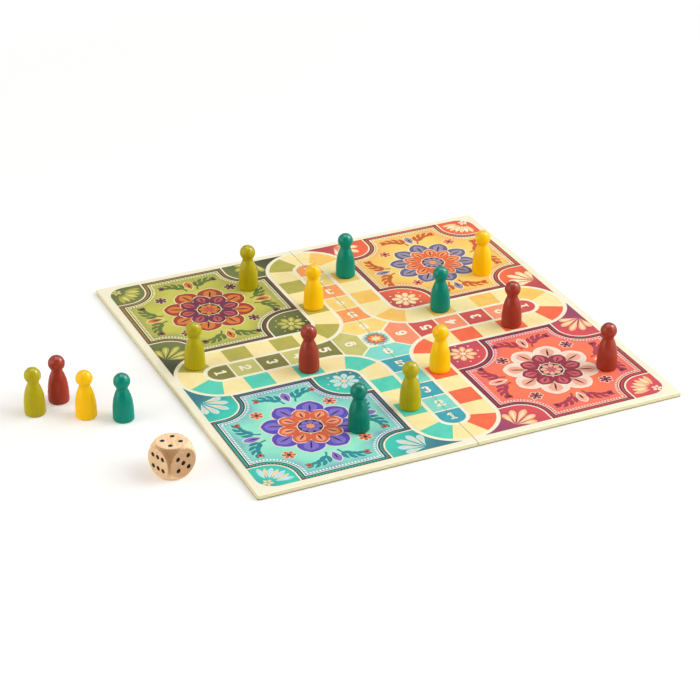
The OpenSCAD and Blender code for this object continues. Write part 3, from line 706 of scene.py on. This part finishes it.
def picture(player):
    """The panel's ornament: a layered rosette in the middle, sprigs that curl to both sides from
    the end of each axis, a bud between them, and a small blossom on each diagonal."""
    step = 360 / FOLD[player]
    room = 2 * math.tan(math.radians(step / 2))
    body, slot = HALF[player], f"ink_panel_{player}"
    inks = {k: ink(f"{k}_ink_{player}", *pair, cloud=4.0) for k, pair in PICTURE[player].items()}
    layers = {k: [] for k in inks}

    def lay(key, level, shape, outline=0):
        """Prints a shape at one of the levels between the ground's face and the pawns' standing
        level, with a pale outline one level lower."""
        if outline:
            lay("pale", level - 1, grown(shape, outline))
        top = FACE_Z + (level + 2) * LEVEL
        layers[key].append(on_panel(ribbons(*shape, FACE_Z + LEVEL, top), player))

    for way in (-1, 1):
        roots = round_places(4, 29.5, 7 * way)
        stem, angle = stems(roots, 90 * np.arange(4) + 6 * way, 19, 96 * way, 1.3)
        lay("leaf", 1, leaves(stem, angle, LEAF_SHARES, 8.6, 3.4, 46))
        lay("leaf", 2, stem)
        lay("second", 2, discs(stem[0][:, -1], 1.7))
        lay("dark", 3, discs(stem[0][:, -1], 0.7))
    lay("third", 3, petals(4, 30.5, 41.5, 5.4, 0, 1.25, 0.8), 0.5)
    lay("dark", 4, petals(4, 32.5, 38.5, 1.3, 0, 1.0, 0.8))
    for turn, out in BLOSSOMS.items():
        bud = round_places(1, out, turn)[0]
        lay("second", 2, petals(6, 0.6, 4.2, 2.3, turn, 1.25, 0.7, centre=bud), 0.35)
        lay("dark", 3, discs([bud], 1.2))
    for key, level, radius, stations in HUB:
        lay(key, level, discs([(0, 0)], radius, stations))
    for key, level, start, end, touch, share, turn, belly, tip, outline in ROSETTE:
        width = share * (touch * room if touch else 1)
        lay(key, level, petals(FOLD[player], start, end, width, turn * step, belly, tip), outline)
    for key, parts in layers.items():
        piece(f"picture_{key}_{player}", parts, inks[key], body)


def corner_motifs(player):
    """A fan, two sprays and a daisy in a panel's four corner fields."""
    body, slot = HALF[player], f"ink_corner_{player}"
    root = (PANEL_HALF - FAN_IN,) * 2
    pales = [petals(4, 4.6, 15.6, 3.4, 180, 1.35, 0.7, centre=root, arc=90)]
    warms = [petals(3, 5.4, 15.0, 2.5, 195, 1.35, 0.7, centre=root, arc=60),
             petals(5, 0.4, 3.4, 2.0, 225, 1.2, 0.8, centre=root)]
    for signs, heading in (((1, -1), 135), ((-1, 1), -45)):
        root = [sign * (PANEL_HALF - (SPRAY_IN if sign > 0 else SPRAY_OFF)) for sign in signs]
        for k, length in enumerate(SPRAY_LENGTHS):
            turn = heading + SPRAY_STEP * (k - 2)
            pales.append(petals(1, 0.5, length, 4.4, turn, 2.6, 0.6, centre=root, n=19))
            warms.append(petals(1, 2.5, length - 1.6, 1.7, turn, 2.2, 0.7, centre=root, n=15))
    inner = (DAISY_IN - PANEL_HALF,) * 2
    pales.append(petals(8, 1.8, 8.8, 3.9, 22.5, 1.35, 0.62, centre=inner))
    warms += [petals(8, 3.2, 7.4, 1.3, 22.5, 1.2, 0.8, centre=inner),
              discs([inner], 1.9, 15), discs(round_places(8, 10.3, 0, inner), 0.6)]
    for level, (key, shapes) in enumerate((("pale", pales), ("warm", warms))):
        parts = [on_panel(ribbons(*shape, INK_Z, INK_Z + (level + 1) * LEVEL), player) for shape in shapes]
        finish = ink(f"corner_{key}_ink_{player}", *MOTIF[player][level], cloud=4.0)
        piece(f"corner_{key}_{player}", parts, finish, body)


def star_burst():
    """The middle star: a teal halo of rays, and on it stars of red, gold and cream, each made of
    rays that are widest near the middle. Each half's rays are cut off at the fold."""
    for name, colours, count, start, end, width, belly, tip, low, top in BURST:
        made = ink(f"{name}_ink", *colours)
        step = 180 / count
        for side, turn, way in (("left", 90, -1), ("right", -90, 1)):
            rays = petals(count, start, end, width, turn + step / 2, belly, tip, arc=180 - step)
            points, quads = ribbons(*rays, low, top)
            points[:, 0] = way * np.maximum(way * points[:, 0], FOLD_GAP)
            piece(f"{name}_{side}", [(points, quads)], made, f"{side}_half")


# Solids that stand for CAD nodes


def hinge_strip():
    """One strip across the fold: a slab whose stations stand at the cube of their share of the half
    width, so that they crowd at the fold line. It stands for the CAD's two flaps."""
    share = np.linspace(-1, 1, 61)
    x = np.sign(share) * np.abs(share) ** 3 * STRIP_W / 2
    path = np.stack([x, np.zeros_like(x)], 1)[None]
    made = piece("hinge_strip", [ribbons(path, STRIP_RUN, 0, LINING_T)], hinge_tape())
    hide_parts("hinge_strip_left", "hinge_strip_right")
    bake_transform(made)


def pawn_profile():
    """A pawn's outline as radius and height, from the foot up: a rounded foot, a bell like a quarter
    ellipse that runs hollow into the neck, its width times 1 - exp(-drop / NECK_HOLLOW), and a ball."""
    body, foot, head, neck = PAWN_D / 2, FOOT_D / 2, HEAD_D / 2, NECK_D / 2
    a = np.radians(np.linspace(0, 90, 10))
    heel = np.stack([foot + (body - foot) * np.sin(a), FOOT_H * (1 - np.cos(a))], 1)
    a = np.radians(np.linspace(2, 90, 34))
    drop = 1 - np.sin(a)
    waist = 1 - np.exp(-drop / NECK_HOLLOW)
    rise = SHOULDER_H - (SHOULDER_H - BELLY_H) * drop
    bell = np.stack([neck + (body - neck) * np.cos(a) * waist, rise], 1)
    # The ball starts just past the neck's edge and ends just short of the pole, which a fan closes
    start = math.asin(neck / head)
    a = np.linspace(start + 0.04, math.pi - 0.03, 26)
    ball = np.stack([head * np.sin(a), PAWN_H - head - head * np.cos(a)], 1)
    return np.concatenate([heel, bell, ball])


def pawn(player, number, steps=64):
    """A turned pawn: its outline carried round the axis in equal steps, closed by a fan at each pole."""
    name = f"pawn_{player}_{number}"
    low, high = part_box(name)
    x, y = (low.x + high.x) / 2 / MM, (low.y + high.y) / 2 / MM
    ground = low.z / MM
    outline = pawn_profile()
    rows = len(outline)
    a = np.arange(steps) * 2 * np.pi / steps
    points = np.empty((rows, steps, 3))
    points[..., 0] = x + outline[:, :1] * np.cos(a)
    points[..., 1] = y + outline[:, :1] * np.sin(a)
    points[..., 2] = ground + outline[:, 1:]
    ring, ahead, sides = rings(rows, steps)
    foot, crown = rows * steps, rows * steps + 1
    faces = [sides, fan(ahead[0], ring[0], foot), fan(ring[-1], ahead[-1], crown)]
    points = np.concatenate([points.reshape(-1, 3), [[x, y, ground], [x, y, ground + PAWN_H]]])
    # The teal pawn on its own panel takes a darker copy of the teal enamel, as painted shade
    paint = "teal_painted_shade" if player == "teal" and ground > LINING_T and max(x, y) < 0 else player
    piece(f"painted_{name}", [(points, faces)], PAINTS[paint], name, [name], smooth=True)


# Each of the die's faces: its number, its own X, Y and outward directions, and how much darker it is: 1 on
# the two end-grain faces, and 0.4 as painted shade on two side-grain faces
DIE_FACES = ((4, (1, 0, 0), (0, 1, 0), (0, 0, 1), 0), (3, (1, 0, 0), (0, -1, 0), (0, 0, -1), 0),
             (5, (1, 0, 0), (0, 0, 1), (0, -1, 0), 1), (2, (1, 0, 0), (0, 0, -1), (0, 1, 0), 1),
             (6, (0, -1, 0), (0, 0, 1), (-1, 0, 0), 0.4), (1, (0, 1, 0), (0, 0, 1), (1, 0, 0), 0.4))
# Points along a face's side, and the power of the rounded least that joins the die's surfaces
DIE_GRID, DIE_SHARP = 119, 140
# The corner darkened most, as painted shade, the cosine from which that shade grows and over which
# it does, and the darkening of cut-across fibres that every rounded corner has
SHADED_CORNER_WAY, SHADE_FROM, SHADE_RUN, CROSSCUT_LEAST = np.array([-1.15, -1.15, 0.9]) / 1.859, 0.45, 0.5, 0.12
# The width of a pip's wall, and how far its paint laps over the edge and fades
PIP_WALL, PAINT_LAP, PAINT_FADE = 0.16, 0.18, 0.1


def pip_places(number):
    """The pips of a face about its middle."""
    p, q = PIP_PITCH, ROW_PITCH
    two = [(-p, -p), (p, p)]
    four = [(x, y) for x in (-p, p) for y in (-p, p)]
    return {1: [(0, 0)], 2: two, 3: [(0, 0)] + two, 4: four, 5: [(0, 0)] + four,
            6: [(x, y) for x in (-q, 0, q) for y in (-p, p)]}[number]


def die():
    """The die: each of the cube's faces is a grid of directions. Along each, the surface lies at a
    rounded least of the distances to the faces' planes and to the ball that rounds the corners:
    the sum of their powers -DIE_SHARP, to the power -1 / DIE_SHARP. The pips are pressed into the
    planes as shallow cups with sloping walls."""
    low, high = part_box("die")
    centre = (np.array(low) + np.array(high)) / 2 / MM
    side = np.tan(np.linspace(-np.pi / 4, np.pi / 4, DIE_GRID))
    u, v = np.meshgrid(side, side, indexing="ij")
    turn = math.radians(DIE_YAW)
    spin = np.array([[math.cos(turn), -math.sin(turn), 0], [math.sin(turn), math.cos(turn), 0], [0, 0, 1]])
    index = np.arange(DIE_GRID ** 2).reshape(DIE_GRID, DIE_GRID)
    quads = np.stack([index[:-1, :-1], index[1:, :-1], index[1:, 1:], index[:-1, 1:]], -1).reshape(-1, 4)
    ball = (1 / DIE_ROUND) ** DIE_SHARP
    parts, values = [], {"rounding": [], "end_grain_and_shade": [], "painted": []}
    for number, ex, ey, ez, grain in DIE_FACES:
        way = u[..., None] * ex + v[..., None] * ey + np.ones((DIE_GRID, DIE_GRID, 1)) * ez
        way /= np.linalg.norm(way, axis=2, keepdims=True)
        both = ball + ((np.maximum(np.abs(way), 1e-6) / (DIE_A / 2)) ** DIE_SHARP).sum(2)
        point = way * both[..., None] ** (-1 / DIE_SHARP)
        # Painted shade on the upper front corner, over the slight real darkening of every rounded corner
        toward = np.clip((way @ SHADED_CORNER_WAY - SHADE_FROM) / SHADE_RUN, 0, 1)
        crosscut_and_shade = CROSSCUT_LEAST + (1 - CROSSCUT_LEAST) * toward ** 2 * (3 - 2 * toward)
        flat_x, flat_y = point @ np.array(ex, float), point @ np.array(ey, float)
        painted = np.zeros_like(u)
        for px, py in pip_places(number):
            away = np.hypot(flat_x - px, flat_y - py)
            depth = PIP_DEPTH * np.clip((PIP_R + PIP_WALL - away) / PIP_WALL, 0, 1)
            painted = np.maximum(painted, np.clip((PIP_R + PAINT_LAP - away) / PAINT_FADE, 0, 1))
            point = point - depth[..., None] * ez
        parts.append(((point.reshape(-1, 3) @ spin.T) + centre, [quads]))
        values["rounding"].append(ball / both * crosscut_and_shade)
        values["end_grain_and_shade"].append(grain * (1 - ball / both))
        values["painted"].append(painted)
    made = piece("wooden_die", parts, beech(), "die", ["die"], smooth=True)
    for name, held in values.items():
        hold(made, name, np.stack(held).ravel())


# Stage

# What the white table adds to itself where the camera or a reflection sees it, half its side, how
# far it lies below the board, and the distances in metres between which it goes over to white
FLOOR_LIFT, FLOOR_HALF, FLOOR_DROP, FLOOR_FADE = 0.13, 4000.0, 0.05, (0.35, 0.65)
# The point in metres that every lamp is aimed at, just under the middle of the object
LAMP_AIM = (-0.03, 0, 0.01)
# The wall behind the camera: its middle, half its side, and its own right and up
WALL_AT, WALL_HALF = (-535.0, -1120.0, 680.0), 1250.0
WALL_RIGHT, WALL_UP = (0.908, -0.419, 0.0), (0.202, 0.438, 0.876)
WHITE = (1, 1, 1, 1)


def sheet(name, corners, finish):
    """A single face for the stage."""
    made = piece(name, [(np.array(corners), [[[0, 1, 2, 3]]])], finish)
    return made


def white_floor():
    """A seamless white table: pale and dull, keeps the soft shadows, and shows white to the camera.
    Farther off it goes over to plain white, like a sheet that runs up behind. From below it is clear."""
    floor, place = material("white_table")
    seen = seen_plainly(floor)
    dull = add(floor, "BsdfDiffuse", {"Color": (0.97, 0.965, 0.95, 1), "Roughness": 0.0})
    lift = add(floor, "Math", {0: seen, 1: FLOOR_LIFT}, operation="MULTIPLY")
    glow = add(floor, "Emission", {"Color": WHITE, "Strength": lift})
    near = add(floor, "AddShader", {0: dull, 1: glow})
    reach = add(floor, "VectorMath", {0: place}, operation="LENGTH")
    share = add(floor, "MapRange", {"Value": reach, "From Min": FLOOR_FADE[0], "From Max": FLOOR_FADE[1]},
                interpolation_type="SMOOTHSTEP")
    share = add(floor, "Math", {0: share, 1: seen}, operation="MULTIPLY")
    far = add(floor, "Emission", {"Color": WHITE, "Strength": 1.0})
    white = add(floor, "MixShader", {0: share, 1: near, 2: far})
    under = add(floor, "NewGeometry").outputs["Backfacing"]
    faced = add(floor, "MixShader", {0: under, 1: white, 2: add(floor, "BsdfTransparent")})
    add(floor, "OutputMaterial", {"Surface": faced})
    sheet("floor", [(x * FLOOR_HALF, y * FLOOR_HALF, -FLOOR_DROP)
                    for x, y in ((-1, -1), (1, -1), (1, 1), (-1, 1))], floor)


def studio_world():
    """An even pale room: full white to the camera and to reflections, plainer as a light."""
    world = bpy.data.worlds.new("studio")
    world.use_nodes = True
    world.node_tree.nodes.clear()
    plain = add(world, "Background", {"Color": (1.0, 0.955, 0.885, 1), "Strength": 0.45})
    white = add(world, "Background", {"Color": WHITE, "Strength": 1.0})
    both = add(world, "MixShader", {0: seen_plainly(world), 1: plain, 2: white})
    add(world, "OutputWorld", {"Surface": both})
    bpy.context.scene.world = world


def dark_room():
    """The dark room behind the camera: only reflections see it, as the dark middle of each head."""
    wall, _ = material("dark_room")
    dull = add(wall, "BsdfDiffuse", {"Color": (0.01, 0.01, 0.01, 1)})
    add(wall, "OutputMaterial", {"Surface": dull})
    middle, right, up = np.array([WALL_AT, WALL_RIGHT, WALL_UP])
    made = sheet("dark_room", [middle + WALL_HALF * (x * right + y * up)
                               for x, y in ((-1, -1), (-1, 1), (1, 1), (1, -1))], wall)
    for rays in ("camera", "diffuse", "transmission", "volume_scatter", "shadow"):
        setattr(made, f"visible_{rays}", False)


def placed(name, data, place, along):
    """Puts a lamp or a camera at place, in metres, looking along a direction."""
    made = bpy.data.objects.new(name, data)
    made.location = place
    made.rotation_mode = "QUATERNION"
    made.rotation_quaternion = Vector(along).to_track_quat("-Z", "Y")
    bpy.context.scene.collection.objects.link(made)
    return made


def softbox(name, place, size, watts, colour=(1, 1, 1), gloss_only=False):
    """A square area lamp at place, aimed at the object. One that is gloss_only lights nothing: it
    only shows in the gloss, as the bright middle of a lamp's diffuser does."""
    lamp = bpy.data.lights.new(name, "AREA")
    lamp.shape = "SQUARE"
    lamp.size = size
    lamp.energy = watts
    lamp.color = colour
    made = placed(name, lamp, place, Vector(LAMP_AIM) - Vector(place))
    made.visible_diffuse = not gloss_only


def camera():
    """The photograph's view: from the front left, looking down by 29 degrees."""
    lens = bpy.data.cameras.new("camera")
    lens.sensor_width = 36.0
    lens.lens = 110.94
    lens.clip_start, lens.clip_end = 0.05, 20.0
    bpy.context.scene.camera = placed("camera", lens, (-0.5027, -1.0509, 0.6367), (0.3671, 0.7952, -0.4826))


# The object

HALF_FINISHES = {"core": greyboard(), "face_paper": board_paper(), "lining": lining_paper(),
                 "squares_tan": ink("tan_square_ink", "#FFEEAE", "#FDE196"),
                 "numbers": ink("number_paper", "#FBF5DC", "#F6EFD0"),
                 "star": ink("star_ink", "#F26A3C", "#E4562F")}
for name, finish in HALF_FINISHES.items():
    dress(f"{name}_left", finish)
    dress(f"{name}_right", finish)
PAINTS = {p: pawn_paint(f"enamel_{p}", *PAINT[p]) for p in PAINT}
for player in PLAYERS:
    dress(f"squares_{player}", ink(f"square_ink_{player}", *SQUARES[player]))
    dark = ink(f"home_dark_ink_{player}", *HOME_DARK[player])
    light = ink(f"home_light_ink_{player}", *HOME_LIGHT[player])
    for tail in ("_left", "_right") if player in ("teal", "yellow") else ("",):
        dress(f"home_{player}_dark{tail}", dark)
        dress(f"home_{player}_light{tail}", light)
    dress(f"border_{player}", ink(f"border_ink_{player}", *BORDER[player]))
    near, far = CORNER[player]
    field = turned((PANEL_MID + CORNER_DRIFT,) * 2, TURN[player])
    dress(f"corners_{player}", ink(f"corner_ink_{player}", near, near, far, field, (47, 78)))
    panel_ground(player)
    frame_lines(player)
    picture(player)
    corner_motifs(player)
    for number in (1, 2, 3, 4):
        pawn(player, number)
star_burst()
hinge_strip()
die()
dress("pips", pip_paint())

white_floor()
studio_world()
dark_room()
softbox("key", (1.76, -0.43, 1.3), 2.4, 36, (0.94, 1.0, 1.07))
softbox("spark", (1.35, -0.2, 1.4), 0.9, 66, gloss_only=True)
softbox("top_gloss", (0.1, 0.35, 1.7), 1.3, 36, gloss_only=True)
softbox("left_gloss", (-1.4, -0.1, 0.8), 2.0, 12, gloss_only=True)
softbox("right_card", (0.95, -0.75, 0.4), 1.2, 8)
softbox("left_card", (-1.25, 0.2, 0.42), 1.3, 9.5)
camera()

bpy.context.scene.view_settings.view_transform = "Standard"
